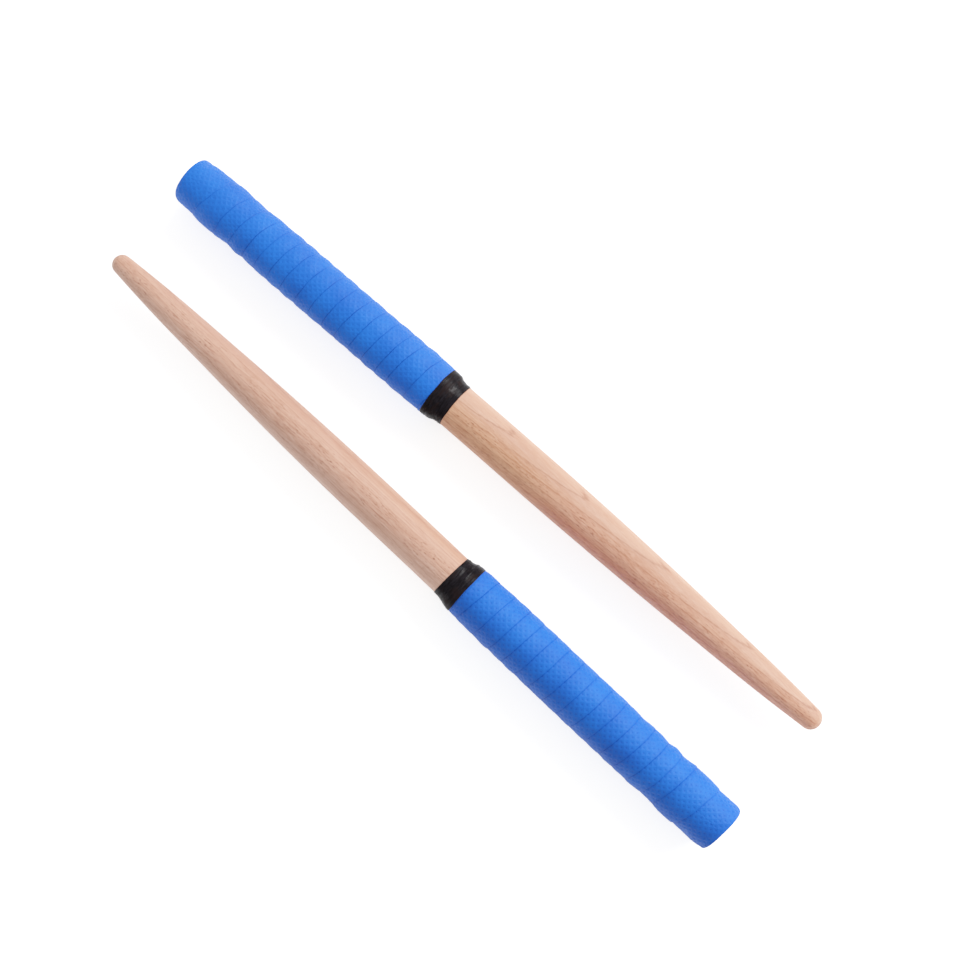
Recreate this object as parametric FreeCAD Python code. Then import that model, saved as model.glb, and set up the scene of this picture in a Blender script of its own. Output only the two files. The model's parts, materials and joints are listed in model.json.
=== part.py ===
import FreeCAD, Part
import math
import os

# A pair of loose, tapered hardwood training sticks, lying side by side and
# pointing opposite ways. Each stick is four pieces: a turned shaft, a thin
# adhesive starter tab at the butt, a wound overgrip and a narrow finishing
# tape over the overgrip's end. Millimetres, +Z up, the sticks rest on z = 0,
# +X runs along the pair, and the origin is under the middle of the pair.
#
# Each piece is built with its stick's butt at the origin and the axis along
# +X. Profiles are lists of (distance from butt, radius) points.

# ---- shaft -----------------------------------------------------------------
STICK_LENGTH = 350.0        # butt face to tip
HANDLE_R = 9.85             # bare cylindrical part of the wood
BUTT_R = 9.75               # wood at the butt, under the wrap
BUTT_EDGE_ROUND = 0.8       # eased edge of the butt face
TAPER_START = 195.0         # distance from the butt where the ogive begins
BARE_GAP = 0.6              # from the finishing tape to the straight bare wood

# ---- wrapping --------------------------------------------------------------
WRAP_CLEARANCE = 0.04       # gap kept between neighbouring pieces
TAB_FROM, TAB_TO = 2.0, 10.0        # starter tab, along the shaft
TAB_THICKNESS = 0.12
TAB_ARC_LENGTH = 22.0               # around the shaft
POCKET_END = TAB_TO + 1.0           # overgrip bore, widened over the tab, starts to narrow
BORE_START = TAB_TO + 2.0           # overgrip bore reaches its plain radius
TAPE_THICKNESS = 0.15               # finishing tape, two turns of thin vinyl
LAP_STEP = 0.26                     # fall of the overgrip from one lapped edge to the next
LAP_RAMP = 0.3                      # axial length of each lapped edge's step
TUCKED_MIN_SPACE = 0.25             # least rise of the tape's bore that holds overgrip
TUCKED_END_RUN = 0.4                # axial length of the overgrip's final thinning
TUCKED_END_THICKNESS = 0.05         # overgrip at its hidden end

TIP_SAMPLES = 90            # steps round the tip's quarter circle, for the extents

# ---- each stick ------------------------------------------------------------
# center:       X, Y of the middle of the axis, before the pair is centred.
# heading:      direction from butt to tip, degrees from +X.
# tip_r:        radius of the rounded tip.
# lap_edges:    distance from the butt of each exposed edge of the overgrip.
# wrap_profile: mean outer profile of the overgrip, up to the finishing tape.
# tape_profile: outer profile of the finishing tape, from there to bare wood.
STICKS = {
    "stick_1": {
        "center": (0.52, 28.70),
        "heading": 1.12,
        "tip_r": 4.6,
        "lap_edges": [15.2, 25.8, 33.8, 41.6, 48.4, 55.6, 62.6, 70.8,
                      78.7, 86.3, 94.1, 101.9, 109.2, 116.7, 123.3, 132.7],
        "wrap_profile": [
            (0.2, 10.5), (1.6, 10.75), (4.0, 11.0), (10.0, 11.12),
            (14.0, 11.4), (17.0, 11.58), (20.0, 11.7), (24.0, 11.66),
            (27.5, 11.3), (31.0, 11.2), (36.0, 11.38), (42.0, 11.5),
            (50.0, 11.7), (136.0, 11.7), (140.3, 11.5)],
        "tape_profile": [
            (140.3, 11.6), (141.5, 11.38), (143.2, 11.24), (144.4, 11.0),
            (145.4, 10.6), (146.4, 10.28), (147.4, 10.1), (150.1, 10.06)],
    },
    "stick_2": {
        "center": (-0.80, -24.84),
        "heading": 179.2,
        "tip_r": 4.2,
        "lap_edges": [14.5, 26.9, 33.6, 41.2, 48.6, 56.9, 64.4, 72.0,
                      81.0, 88.4, 96.2, 104.4, 111.7, 119.6, 127.7, 136.0],
        "wrap_profile": [
            (0.2, 11.0), (1.8, 11.3), (4.0, 11.48), (11.0, 11.58),
            (14.0, 11.8), (18.0, 12.05), (23.5, 12.08), (26.0, 11.87),
            (30.0, 11.62), (34.0, 11.75), (42.0, 11.88), (52.0, 11.95),
            (60.0, 12.0), (122.0, 12.0), (129.0, 11.88), (134.0, 11.76),
            (138.0, 11.74), (143.1, 11.45)],
        "tape_profile": [
            (143.1, 11.58), (144.4, 11.32), (145.6, 11.15), (146.6, 10.95),
            (147.6, 10.58), (148.6, 10.27), (149.6, 10.1), (152.2, 10.06)],
    },
}

ORIGIN = FreeCAD.Vector(0, 0, 0)
AXIS = FreeCAD.Vector(1, 0, 0)


# ---- profiles --------------------------------------------------------------
def interpolate(profile, distance):
    """Radius at a distance from the butt, on a piecewise straight profile."""
    for (start, start_r), (end, end_r) in zip(profile, profile[1:]):
        if distance <= end:
            return start_r + (end_r - start_r) * (distance - start) / (end - start)
    return profile[-1][1]


def bare_start(stick):
    """Distance from the butt where the straight bare wood begins."""
    return stick["tape_profile"][-1][0] + BARE_GAP


def wood_radius(stick, distance):
    """Radius of the slightly tapered wood under the wrap."""
    return BUTT_R + (HANDLE_R - BUTT_R) * distance / bare_start(stick)


def tape_bore(stick):
    """Inner profile of the finishing tape, never closer than the wood allows."""
    floor = HANDLE_R + WRAP_CLEARANCE
    return [(distance, max(floor, radius - TAPE_THICKNESS))
            for distance, radius in stick["tape_profile"]]


def wrap_outline(stick):
    """Outer profile of the exposed overgrip, with its lapped edges."""
    profile = stick["wrap_profile"]
    knots = [profile[0][0]] + stick["lap_edges"] + [profile[-1][0]]
    last_turn = len(knots) - 2
    outline = []
    for turn, (start, end) in enumerate(zip(knots, knots[1:])):
        # Half of each ramp lies on either side of the lapped edge.
        if turn > 0:
            start += LAP_RAMP / 2
        if turn < last_turn:
            end -= LAP_RAMP / 2
        inside = [distance for distance, _ in profile if start < distance < end]
        for distance in [start] + inside + [end]:
            lift = 0.0
            if turn > 0:
                # A lap stands proud at its exposed edge and slopes down from it.
                lift = LAP_STEP * (0.5 - (distance - start) / (end - start))
            outline.append((distance, interpolate(profile, distance) + lift))
    return outline


# ---- shape helpers ---------------------------------------------------------
def polygon_face(profile):
    """Flat face inside straight edges through the points, closed at the end."""
    corners = [FreeCAD.Vector(distance, radius, 0) for distance, radius in profile]
    edges = [Part.LineSegment(a, b).toShape()
             for a, b in zip(corners, corners[1:] + corners[:1])]
    return Part.Face(Part.Wire(edges))


def turn_solid(face):
    """Outward-facing solid from a face turned fully about the axis."""
    solid = face.revolve(ORIGIN, AXIS, 360)
    if solid.ShapeType != "Solid":
        solid = Part.Solid(solid.Shells[0])
    if solid.Volume < 0:
        solid.reverse()
    return solid


# ---- pieces ----------------------------------------------------------------
def make_shaft(stick):
    """Turned stick: flat butt, handle, long ogive and a ball-ended tip."""
    tip_r = stick["tip_r"]
    ball_x = STICK_LENGTH - tip_r

    # The ogive arc is tangent to the cylinder and to the ball at the tip.
    run = ball_x - TAPER_START
    ogive_r = (run ** 2 / (HANDLE_R - tip_r) + tip_r + HANDLE_R) / 2
    ogive_y = HANDLE_R - ogive_r
    ogive_angle = math.atan2(run, -ogive_y)     # measured from +Y

    def on_ogive(angle):
        return FreeCAD.Vector(TAPER_START + ogive_r * math.sin(angle),
                              ogive_y + ogive_r * math.cos(angle), 0)

    ogive_end = on_ogive(ogive_angle)
    ball_half_angle = math.atan2(ogive_end.y, ogive_end.x - ball_x) / 2
    ball_middle = FreeCAD.Vector(ball_x + tip_r * math.cos(ball_half_angle),
                                 tip_r * math.sin(ball_half_angle), 0)
    tip = FreeCAD.Vector(STICK_LENGTH, 0, 0)

    edge_r = wood_radius(stick, BUTT_EDGE_ROUND)
    face_r = edge_r - BUTT_EDGE_ROUND
    sagitta = BUTT_EDGE_ROUND * (1 - math.sqrt(0.5))
    butt_rim = FreeCAD.Vector(0, face_r, 0)
    round_middle = FreeCAD.Vector(sagitta, edge_r - sagitta, 0)
    round_end = FreeCAD.Vector(BUTT_EDGE_ROUND, edge_r, 0)

    bare = FreeCAD.Vector(bare_start(stick), HANDLE_R, 0)
    taper = FreeCAD.Vector(TAPER_START, HANDLE_R, 0)
    curves = [
        Part.LineSegment(ORIGIN, butt_rim),
        Part.Arc(butt_rim, round_middle, round_end),
        Part.LineSegment(round_end, bare),
        Part.LineSegment(bare, taper),
        Part.Arc(taper, on_ogive(ogive_angle / 2), ogive_end),
        Part.Arc(ogive_end, ball_middle, tip),
        Part.LineSegment(tip, ORIGIN),
    ]
    return turn_solid(Part.Face(Part.Wire([curve.toShape() for curve in curves])))


def make_starter_tab(stick):
    """Thin adhesive patch bent round the underside of the wood."""
    inner = wood_radius(stick, TAB_TO) + WRAP_CLEARANCE
    outer = inner + TAB_THICKNESS
    face = polygon_face([(TAB_FROM, inner), (TAB_FROM, outer),
                         (TAB_TO, outer), (TAB_TO, inner)])
    sweep = math.degrees(TAB_ARC_LENGTH / inner)
    # Start half a sweep before straight down, so the patch centres on -Z.
    face.rotate(ORIGIN, AXIS, -90 - sweep / 2)
    return face.revolve(ORIGIN, AXIS, sweep)


def make_overgrip(stick):
    """Wound grip tape as one closed sleeve with its stepped outer profile."""
    outline = wrap_outline(stick)
    bore = HANDLE_R + WRAP_CLEARANCE
    pocket = wood_radius(stick, TAB_TO) + TAB_THICKNESS + 2 * WRAP_CLEARANCE
    # Under the finishing tape the squeezed end of the wrap thins to the wood.
    tucked = [(distance, radius - WRAP_CLEARANCE) for distance, radius in tape_bore(stick)
              if radius > bore + TUCKED_MIN_SPACE]
    end = tucked[-1][0] + TUCKED_END_RUN
    return turn_solid(polygon_face(
        [(outline[0][0], pocket)] + outline + tucked
        + [(end, bore + TUCKED_END_THICKNESS), (end, bore),
           (BORE_START, bore), (POCKET_END, pocket)]))


def make_finishing_tape(stick):
    """Thin band that covers the wrap's end and grips the bare wood."""
    return turn_solid(polygon_face(stick["tape_profile"] + tape_bore(stick)[::-1]))


PIECES = {
    "shaft": make_shaft,
    "starter_tab": make_starter_tab,
    "overgrip": make_overgrip,
    "finishing_tape": make_finishing_tape,
}


# ---- laying the pair down --------------------------------------------------
def silhouette(stick):
    """Outermost (distance, radius) points of one stick, for its extents."""
    tip_r = stick["tip_r"]
    points = wrap_outline(stick) + stick["tape_profile"]
    points += [(0.0, BUTT_R - BUTT_EDGE_ROUND), (TAPER_START, HANDLE_R)]
    for i in range(TIP_SAMPLES + 1):
        angle = math.pi / 2 * i / TIP_SAMPLES
        points.append((STICK_LENGTH - tip_r + tip_r * math.cos(angle),
                       tip_r * math.sin(angle)))
    return points


def lay_down(stick):
    """Placement of a stick resting on z = 0, before the pair is centred."""
    rotation = FreeCAD.Rotation(FreeCAD.Vector(0, 0, 1), stick["heading"])
    rest_height = max(radius for _, radius in silhouette(stick))
    middle = FreeCAD.Vector(*stick["center"], rest_height)
    butt = middle - rotation.multVec(AXIS * (STICK_LENGTH / 2))
    return FreeCAD.Placement(butt, rotation)


def pair_middle():
    """Middle of the pair's X and Y extents as first laid down."""
    points = [lay_down(stick).multVec(FreeCAD.Vector(distance, side * radius, 0))
              for stick in STICKS.values()
              for distance, radius in silhouette(stick)
              for side in (-1, 1)]
    xs = [point.x for point in points]
    ys = [point.y for point in points]
    return FreeCAD.Vector((min(xs) + max(xs)) / 2, (min(ys) + max(ys)) / 2, 0)


os.makedirs("parts", exist_ok=True)
middle_of_pair = pair_middle()
for stick_name, stick in STICKS.items():
    placement = lay_down(stick)
    placement.Base = placement.Base - middle_of_pair
    for piece_name, make_piece in PIECES.items():
        placed = make_piece(stick).transformed(placement.toMatrix(), True)
        placed.exportStep(f"parts/{stick_name}_{piece_name}.step")
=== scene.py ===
import json
import math
from types import SimpleNamespace

import bpy
import numpy as np
from mathutils import Matrix, Vector


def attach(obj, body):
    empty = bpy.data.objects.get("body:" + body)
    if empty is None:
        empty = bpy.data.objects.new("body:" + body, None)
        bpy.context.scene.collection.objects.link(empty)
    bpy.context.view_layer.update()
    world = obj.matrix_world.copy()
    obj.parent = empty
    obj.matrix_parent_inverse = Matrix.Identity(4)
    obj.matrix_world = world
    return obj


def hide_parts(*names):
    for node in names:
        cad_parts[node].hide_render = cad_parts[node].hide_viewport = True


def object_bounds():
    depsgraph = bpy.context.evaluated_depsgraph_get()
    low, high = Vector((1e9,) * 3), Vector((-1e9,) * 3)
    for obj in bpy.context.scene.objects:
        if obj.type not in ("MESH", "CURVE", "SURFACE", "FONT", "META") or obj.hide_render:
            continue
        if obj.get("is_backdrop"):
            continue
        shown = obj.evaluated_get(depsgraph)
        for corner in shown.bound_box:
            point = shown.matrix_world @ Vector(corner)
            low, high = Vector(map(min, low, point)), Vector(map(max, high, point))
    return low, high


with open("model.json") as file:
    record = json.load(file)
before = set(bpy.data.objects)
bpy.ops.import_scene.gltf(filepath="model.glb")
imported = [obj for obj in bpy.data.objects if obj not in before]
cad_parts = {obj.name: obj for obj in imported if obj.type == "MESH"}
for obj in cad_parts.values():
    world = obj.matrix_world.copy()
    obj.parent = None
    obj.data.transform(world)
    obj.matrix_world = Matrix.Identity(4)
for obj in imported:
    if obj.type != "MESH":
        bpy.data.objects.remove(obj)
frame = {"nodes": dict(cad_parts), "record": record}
cad_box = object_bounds()

MM = 0.001
TWO_PI = 2 * math.pi

# Shaft
WOOD_R = 9.85
BUTT_R = 9.75
LENGTH = 350.0
TAPER_START = 195.0
BUTT_ROUNDING = 0.8
GRIP_MARGIN = 0.6        # wood keeps its grip slope this far past the tape
SHAFT_SIDES = 224

# Overgrip
STRIP_WIDTH = 26.2
HOLE_PITCH = 3.03        # square lattice of the perforations, along the strip
ROWS = 320               # mesh rows per turn of the wrap
STEP = 0.22              # mesh spacing along the stick
MIN_ROW = 0.12           # shorter rows are left out
EDGE_INSETS = np.array([0, 0.05, 0.12, 0.22, 0.36])     # mesh refined at a row's start
END_INSETS = np.array([0.36, 0.2, 0.1, 0.03, 0.0])      # and towards its end
EDGE_STEP = 0.18         # least height of a lapped edge
LAP_RAMP = 4.6           # a layer reaches full thickness this far from its edge
LAP_FALL = 6.4           # and runs out over this length
BUTT_FADE = 2.5          # lapped edges fade out this close to the butt
TUCK = 0.10              # a turn runs this far under the next
ROUND_LEN = TWO_PI * 11.75
END_R = 10.53            # strip ends where the tape comes down to this radius
BORE_R = 9.98
BUTT_CHAMFER = 0.30

# Finishing tape mesh
TAPE_AROUND = 560
TAPE_ALONG = 96

# Per stick, in mm and radians:
#   wrap_end, tape_end  where the tape starts and ends
#   layer, bold         strip thickness; extra edge height near the butt
#   crease, dent        depths of the crease before a lapped edge and of a perforation
#   rim                 bulge of the butt rim: phi, pull along the stick, extra radius
#   lit_side            sign of sin phi on the half treated as lit
#   tape_tilt, flap, shoulder  slant of the tape's tip end, phi of its third turn's
#                       edge, and how far its ridge lies before the middle
#   bow     (along, shift to the side): hand-turned sticks are never quite straight
#   laps    (turn, along) of the strip's exposed edge
#   skin    (along, mean radius) of the wound grip
#   tape    (along, radius) of the tape
STICKS = {
    "stick_1": dict(
        seed=11, tip_r=4.6, wrap_end=140.3, tape_end=150.1, layer=0.60, bold=0.14,
        crease=0.06, dent=0.095, rim=(-1.4, 0.55, 0.34), lit_side=1.0,
        tape_tilt=-0.12, flap=2.35, shoulder=0.7,
        bow=[(-20, -0.50), (0, -0.50), (35, -0.46), (70, -0.24), (100, 0.0), (130, 0.20),
             (165, 0.40), (200, 0.36), (240, 0.22), (280, 0.0), (320, -0.25),
             (350, -0.42), (380, -0.55)],
        laps=[(-1, 0), (-0.88, 2.2), (-0.75, 5.3), (-0.5, 8.3), (-0.25, 11), (-0.083, 13.7),
              (0, 15.2), (0.083, 16.3), (0.25, 19.2), (0.5, 21.6), (0.75, 23.5), (1, 25.6),
              (1.25, 28), (1.75, 31.6), (2, 33.5), (2.25, 35.9), (2.75, 39.5), (3, 41.4),
              (3.25, 43.9), (3.75, 46.7), (4, 48.2), (4.25, 50.4), (4.75, 53.9), (5, 55.4),
              (5.25, 57.5), (5.75, 61.1), (6, 62.6), (6.25, 64.7), (6.75, 69.3), (7, 70.9),
              (7.25, 73), (7.75, 77.1), (8, 78.5), (8.25, 80.4), (8.75, 84.8), (9, 86.2),
              (9.25, 88.2), (10, 93.8), (11, 101.5), (12, 108.9), (13, 116.4), (14, 122.8),
              (14.75, 130.8), (15, 132.4), (15.25, 134.2), (16, 140.6), (17, 148.3),
              (18, 156)],
        skin=[(0, 9.98), (0.3, 10.25), (0.8, 10.42), (2.2, 10.66), (3.8, 10.86),
              (5.2, 11.02), (8.0, 11.12), (11, 11.2), (13, 11.4), (15.8, 11.48),
              (18, 11.66), (20.5, 11.74), (23.2, 11.7), (25, 11.58), (27, 11.34),
              (30.5, 11.16), (33, 11.27), (36, 11.42), (38.5, 11.36), (41, 11.52),
              (45, 11.58), (49, 11.69), (52, 11.76), (63, 11.78), (70, 11.7),
              (100, 11.71), (130, 11.75), (136, 11.68), (140.3, 11.52), (150, 11.4)],
        tape=[(139.9, 11.62), (140.4, 11.62), (141.5, 11.44), (143.2, 11.28),
              (144.4, 11.02), (145.4, 10.62), (146.4, 10.26), (147.4, 10.07),
              (150.6, 10.04)],
    ),
    "stick_2": dict(
        seed=23, tip_r=4.2, wrap_end=143.1, tape_end=152.2, layer=0.62, bold=0.26,
        crease=0.035, dent=0.12, rim=(-1.3, -0.80, 0.42), lit_side=-1.0,
        tape_tilt=0.42, flap=2.9, shoulder=1.0,
        bow=[(-20, -0.30), (0, -0.28), (16, -0.26), (34, -0.08), (50, 0.0), (380, 0.0)],
        laps=[(-1, 0), (-0.88, 1.4), (-0.75, 3), (-0.5, 7), (-0.25, 11.2), (0, 14.3),
              (0.25, 17.3), (0.5, 20.6), (0.75, 24.1), (1, 26.7), (1.25, 28.6),
              (1.75, 31.7), (2, 33.2), (2.25, 35.1), (2.75, 39.2), (3, 41), (3.25, 43.1),
              (3.75, 47), (4, 48.7), (4.25, 50.7), (4.75, 55), (5, 56.5), (5.25, 58.4),
              (5.75, 62.6), (6, 64.3), (6.25, 66.2), (6.75, 70.8), (7, 72.2), (7.25, 74.4),
              (7.75, 79), (8, 80.5), (8.25, 82.3), (8.75, 86.9), (9, 88.3), (9.25, 90.1),
              (9.75, 94.7), (10, 96.3), (10.75, 102.3), (11, 103.8), (11.75, 109.8),
              (12, 111.4), (12.75, 117.4), (13, 119), (13.25, 120.6), (13.75, 125.8),
              (14, 127.7), (14.25, 129.4), (14.75, 135), (15, 136.9), (15.25, 139.5),
              (16, 144.6), (17, 152.4), (18, 160.2)],
        skin=[(0, 10.5), (0.3, 10.9), (0.8, 11.08), (2.2, 11.28), (3.8, 11.46),
              (7, 11.55), (11, 11.6), (13, 11.81), (15.8, 11.92), (17.6, 12.1),
              (22, 12.12), (23.5, 12.18), (25, 12.04), (27, 11.76), (30.5, 11.6),
              (33, 11.74), (36, 11.86), (38.5, 11.76), (41, 11.88), (46, 11.93),
              (54, 11.96), (62, 12.04), (78, 12.01), (105, 12.05), (123, 12.0),
              (129, 11.9), (134, 11.76), (138, 11.75), (143.1, 11.5), (152, 11.4)],
        tape=[(142.6, 11.6), (143.2, 11.6), (144.4, 11.36), (145.6, 11.19),
              (146.6, 10.96), (147.6, 10.58), (148.6, 10.25), (149.6, 10.08),
              (152.8, 10.05)],
    ),
}


# ---- numeric and mesh tools ----------------------------------------------------
def smoothstep(x):
    x = np.clip(x, 0.0, 1.0)
    return x * x * (3 - 2 * x)


def monotone(points):
    """Monotone cubic interpolation through (x, y) points; constant before the start."""
    x, y = np.array(points, float).T
    width, slope = np.diff(x), np.diff(y) / np.diff(x)
    tangent = np.zeros(len(x))
    before, after = 2 * width[1:] + width[:-1], width[1:] + 2 * width[:-1]
    same_sign = slope[:-1] * slope[1:] > 0
    with np.errstate(divide="ignore", invalid="ignore"):
        blend = (before + after) / (before / slope[:-1] + after / slope[1:])
        tangent[1:-1] = np.where(same_sign, blend, 0.0)
    tangent[0], tangent[-1] = slope[0], slope[-1]

    def evaluate(at):
        at = np.asarray(at, float)
        i = np.clip(np.searchsorted(x, at, side="right") - 1, 0, len(width) - 1)
        t = (at - x[i]) / width[i]
        value = ((1 + 2 * t) * (1 - t) ** 2 * y[i]
                 + t * (1 - t) ** 2 * width[i] * tangent[i]
                 + t * t * (3 - 2 * t) * y[i + 1]
                 + t * t * (t - 1) * width[i] * tangent[i + 1])
        return np.where(at <= x[0], y[0], value)
    return evaluate


def blur(values, size):
    """Smooth a run of values with a bell-shaped window."""
    kernel = np.hanning(size)
    kernel /= kernel.sum()
    return np.convolve(np.pad(values, size // 2, mode="edge"), kernel, "valid")


def off_grid(value):
    """Signed distance to the nearest whole number."""
    return value - np.round(value)


class Wave:
    """Smooth seeded noise in space: a sum of plane waves, about -1 to 1."""

    def __init__(self, seed, length, count=28, stretch=(1.0, 1.0, 1.0)):
        rng = np.random.default_rng(seed)
        direction = rng.normal(size=(count, 3))
        direction /= np.linalg.norm(direction, axis=1)[:, None]
        lengths = length * rng.uniform(0.65, 1.6, count)
        self.vectors = direction * (TWO_PI / lengths)[:, None] / np.array(stretch)
        self.phases = rng.uniform(0, TWO_PI, count)
        self.size = math.sqrt(2.0 / count) * 0.8

    def __call__(self, x, y, z):
        total = np.zeros(np.shape(x))
        for vector, phase in zip(self.vectors, self.phases):
            total += np.cos(vector[0] * x + vector[1] * y + vector[2] * z + phase)
        return total * self.size


def stick_axes(name):
    """Butt centre (mm), axis, side, up and bow of a stick."""
    mounts = frame["record"]["mounts"]
    face = [mount for mount in mounts if mount["name"] == name + "_butt_face"][0]
    butt = np.array(face["pos_m"], float) * 1000
    axis = -np.array(face["axis"], float)
    axis /= np.linalg.norm(axis)
    up = np.array([0.0, 0.0, 1.0])
    return butt, axis, np.cross(up, axis), up, monotone(STICKS[name]["bow"])


def place(axes, along, phi, radius):
    """Positions in metres for points given in a stick's own frame."""
    butt, axis, side, up, bow = axes
    along, phi, radius = np.broadcast_arrays(np.asarray(along, float), phi, radius)
    points = (butt + along[..., None] * axis
              + (radius * np.sin(phi) + bow(along))[..., None] * side
              + (radius * np.cos(phi))[..., None] * up)
    return points.reshape(-1, 3) * MM


def build(name, points, quads, tris, attributes):
    """Smooth-shaded mesh object from numpy arrays."""
    mesh = bpy.data.meshes.new(name)
    quads = np.asarray(quads, np.int64).reshape(-1, 4)
    tris = np.asarray(tris, np.int64).reshape(-1, 3)
    corners = np.concatenate([quads.ravel(), tris.ravel()])
    sizes = np.concatenate([np.full(len(quads), 4), np.full(len(tris), 3)])
    starts = np.concatenate([[0], np.cumsum(sizes)[:-1]])
    mesh.vertices.add(len(points))
    mesh.vertices.foreach_set("co", np.asarray(points, np.float32).ravel())
    mesh.loops.add(len(corners))
    mesh.loops.foreach_set("vertex_index", corners.astype(np.int32))
    mesh.polygons.add(len(sizes))
    mesh.polygons.foreach_set("loop_start", starts.astype(np.int32))
    mesh.polygons.foreach_set("use_smooth", np.full(len(sizes), True))
    for key, value in attributes.items():
        value = np.asarray(value, np.float32)
        kind, field = ("FLOAT_VECTOR", "vector") if value.ndim == 2 else ("FLOAT", "value")
        attribute = mesh.attributes.new(key, kind, "POINT")
        attribute.data.foreach_set(field, value.ravel())
    mesh.update(calc_edges=True)
    mesh.validate()
    obj = bpy.data.objects.new(name, mesh)
    bpy.context.scene.collection.objects.link(obj)
    return obj


def bridge(ring, other):
    """Quads between two closed rings of vertex numbers."""
    return np.stack([ring, np.roll(ring, -1), np.roll(other, -1), other], -1)


def zip_strip(run, keys, other, other_keys):
    """Triangles between two vertex runs, matched by their keys."""
    tris, i, j = [], 0, 0
    while i < len(run) - 1 or j < len(other) - 1:
        if j == len(other) - 1 or (i < len(run) - 1 and keys[i + 1] <= other_keys[j + 1]):
            tris.append((run[i], run[i + 1], other[j]))
            i += 1
        else:
            tris.append((run[i], other[j + 1], other[j]))
            j += 1
    return tris


# ---- turned shaft --------------------------------------------------------------
def wood_radius(along, grip_end):
    return BUTT_R + (WOOD_R - BUTT_R) * np.minimum(1, along / grip_end)


def shaft_profile(spec):
    """(along, radius) rings of the shaft, from the middle of the butt face to the tip."""
    tip, reach = spec["tip_r"], LENGTH - TAPER_START
    ogive = ((reach - tip) ** 2 / (WOOD_R - tip) + tip + WOOD_R) / 2
    ball = LENGTH - tip
    edge = BUTT_ROUNDING
    points = [(0.0, radius) for radius in np.linspace(0.35, BUTT_R - edge, 26)]
    points += [(edge - edge * math.cos(a), BUTT_R - edge + edge * math.sin(a))
               for a in np.linspace(0, math.pi / 2, 9)[1:]]
    grip_end = spec["tape_end"] + GRIP_MARGIN
    for stations in (np.linspace(2.0, grip_end - 12, 60),
                     np.linspace(grip_end - 11, grip_end, 16)):
        points += [(along, wood_radius(along, grip_end)) for along in stations]
    points += [(along, WOOD_R) for along in np.arange(grip_end + 0.6, TAPER_START, 0.6)]
    # ogive taper, then the ball of the tip
    end = math.asin((ball - TAPER_START) / math.hypot(ball - TAPER_START, ogive - WOOD_R))
    points += [(TAPER_START + ogive * math.sin(a), WOOD_R - ogive + ogive * math.cos(a))
               for a in np.linspace(0, end, 260)]
    points += [(ball + tip * math.cos(a), tip * math.sin(a))
               for a in np.linspace(math.pi / 2 - end, 0.06, 26)[1:]]
    points = np.array(points)
    points[:, 1] *= 1 + 0.065 * smoothstep((points[:, 0] - 285) / 50)   # fuller tip
    return points


def make_shaft(name, spec):
    axes = stick_axes(name)
    profile, sides = shaft_profile(spec), SHAFT_SIDES
    phi = np.arange(sides) * TWO_PI / sides
    along = np.repeat(profile[:, 0][:, None], sides, 1)
    radius = np.repeat(profile[:, 1][:, None], sides, 1)
    y, z = np.sin(phi) * radius, np.cos(phi) * radius
    soft = Wave(spec["seed"] + 1, 26, stretch=(3, 1, 1))
    fine = Wave(spec["seed"] + 2, 5, stretch=(2.2, 1, 1))
    # unevenness and tool marks on the bare wood, a slight roughness on the butt face
    bare = smoothstep((along - spec["tape_end"] - 2) / 6) * smoothstep((LENGTH - along) / 3)
    tool = 0.006 * np.sin(along * TWO_PI / 1.7 + 1.3 * np.sin(along * 0.13))
    radius = radius + bare * (0.035 * soft(along, y, z) + 0.008 * fine(along, y, z) + tool)
    along = along + (along < 0.001) * 0.02 * fine(along, y * 0.8, z * 0.8)
    poles = place(axes, np.array([0.0, LENGTH]), 0.0, np.array([0.0, 0.0]))
    points = np.vstack([place(axes, along, phi[None, :], radius), poles])
    local = np.stack([along, radius * np.sin(phi), radius * np.cos(phi)], -1).reshape(-1, 3)
    local = np.vstack([local, [[0, 0, 0], [LENGTH, 0, 0]]])
    rings = np.arange(len(profile) * sides).reshape(-1, sides)
    butt_pole, tip_pole = rings.size, rings.size + 1
    quads = np.vstack([bridge(a, b) for a, b in zip(rings, rings[1:])])
    butt_ring, tip_ring = rings[0], rings[-1]
    tris = np.vstack([
        np.stack([np.full(sides, butt_pole), np.roll(butt_ring, -1), butt_ring], -1),
        np.stack([np.full(sides, tip_pole), tip_ring, np.roll(tip_ring, -1)], -1)])
    return build(name + "_turned_shaft", points, quads, tris, {"wood_pos": local})


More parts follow.
